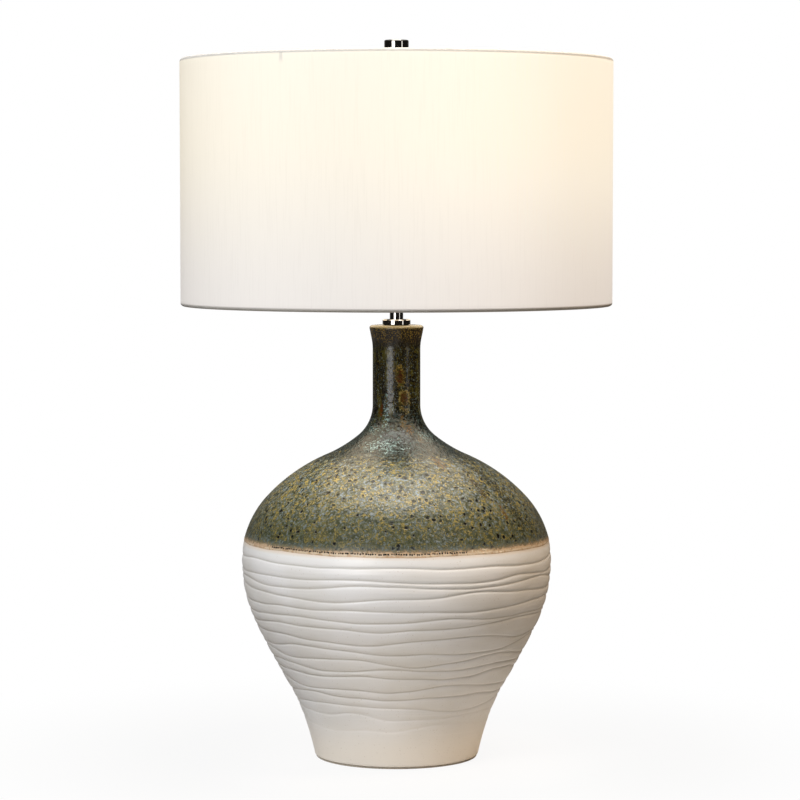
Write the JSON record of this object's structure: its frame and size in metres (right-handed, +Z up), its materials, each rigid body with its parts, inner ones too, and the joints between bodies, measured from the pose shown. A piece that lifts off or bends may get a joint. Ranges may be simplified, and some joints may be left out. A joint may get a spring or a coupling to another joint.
{
  "type": "table lamp",
  "caption": "Table lamp with a bulbous part-glazed stoneware body, short nickel stem, wire harp and a wide white fabric drum shade held by a finial; lit by a screw-in opal bulb.",
  "frame": {"origin": "centre of the foot, on the surface that the lamp stands on", "axes": "+Z up along the axis of body and shade; -Y is the front, with the switch; +Y is the back, with the cord inlet"},
  "size_m": [0.45, 0.45, 0.7493],
  "materials": {
    "stoneware": "bare satin stoneware, incised with wavy rings",
    "reactive_glaze": "glossy mottled reactive glaze over the upper half",
    "nickel": "polished nickel plate",
    "zinc_steel": "zinc-plated steel",
    "brass": "bare brass",
    "felt": "pressed wool felt",
    "rubber": "moulded rubber",
    "phenolic": "moulded phenolic",
    "nylon": "moulded nylon",
    "fibre": "vulcanised fibre sleeve",
    "bulb_opal": "opal glass, lit",
    "bulb_housing": "moulded white plastic",
    "bulb_metal": "rolled screw cap",
    "bulb_bead": "black glass bead",
    "shade_cloth": "white woven cloth with a fine upright slub",
    "shade_film": "translucent white backing film",
    "shade_wire": "white enamelled wire"
  },
  "bodies": {
    "base": {"ceramic_body": "stoneware", "foot_felt_ring": "felt", "cord_grommet": "rubber", "threaded_rod": "zinc_steel", "base_washer": "zinc_steel", "base_lock_washer": "zinc_steel", "base_nut": "zinc_steel", "rod_end_bushing": "nylon", "neck_gasket": "rubber", "vase_cap": "nickel", "stem_tube": "nickel", "harp_saddle": "nickel", "saddle_nut": "zinc_steel", "socket_cap": "nickel", "socket_set_screw": "zinc_steel", "socket_shell": "nickel", "socket_insulator": "fibre", "socket_core": "phenolic", "socket_terminals": "brass", "socket_screw_shell": "brass", "socket_contact": "brass"},
    "switch": {"switch_spindle": "brass", "switch_knob": "phenolic"},
    "bulb": {"bulb_contact": "brass", "bulb_insulator": "bulb_bead", "bulb_cap": "bulb_metal", "bulb_collar": "bulb_housing", "bulb_globe": "bulb_opal"},
    "harp": {"harp_bow": "nickel", "harp_stud": "nickel"},
    "left_ferrule": {"left_ferrule": "nickel"},
    "right_ferrule": {"right_ferrule": "nickel"},
    "shade": {"spider_hub": "shade_wire", "spider_arms": "shade_wire", "shade_top_ring": "shade_wire", "shade_bottom_ring": "shade_wire", "shade_liner": "shade_film", "shade_fabric": "shade_cloth"},
    "finial": {"finial": "nickel"}
  },
  "joints": [
    {"name": "harp_lift", "type": "slide", "parent": "base", "child": "harp", "axis": [0, 0, 1], "range_m": [0, 0.17]},
    {"name": "left_ferrule_slide", "type": "slide", "parent": "harp", "child": "left_ferrule", "axis": [0, 0, 1], "range_m": [0, 0.02]},
    {"name": "right_ferrule_slide", "type": "slide", "parent": "harp", "child": "right_ferrule", "axis": [0, 0, 1], "range_m": [0, 0.02]},
    {"name": "shade_swivel", "type": "hinge", "parent": "harp", "child": "shade", "pos_m": [0, 0, 0.7148], "axis": [0, 0, 1], "continuous": true},
    {"name": "finial_turn", "type": "hinge", "parent": "harp", "child": "finial", "pos_m": [0, 0, 0.7171], "axis": [0, 0, 1], "continuous": true},
    {"name": "bulb_turn", "type": "hinge", "parent": "base", "child": "bulb", "pos_m": [0, 0, 0.5319], "axis": [0, 0, 1], "continuous": true},
    {"name": "switch_turn", "type": "hinge", "parent": "base", "child": "switch", "pos_m": [0, -0.02, 0.515], "axis": [0, -1, 0], "continuous": true}
  ]
}
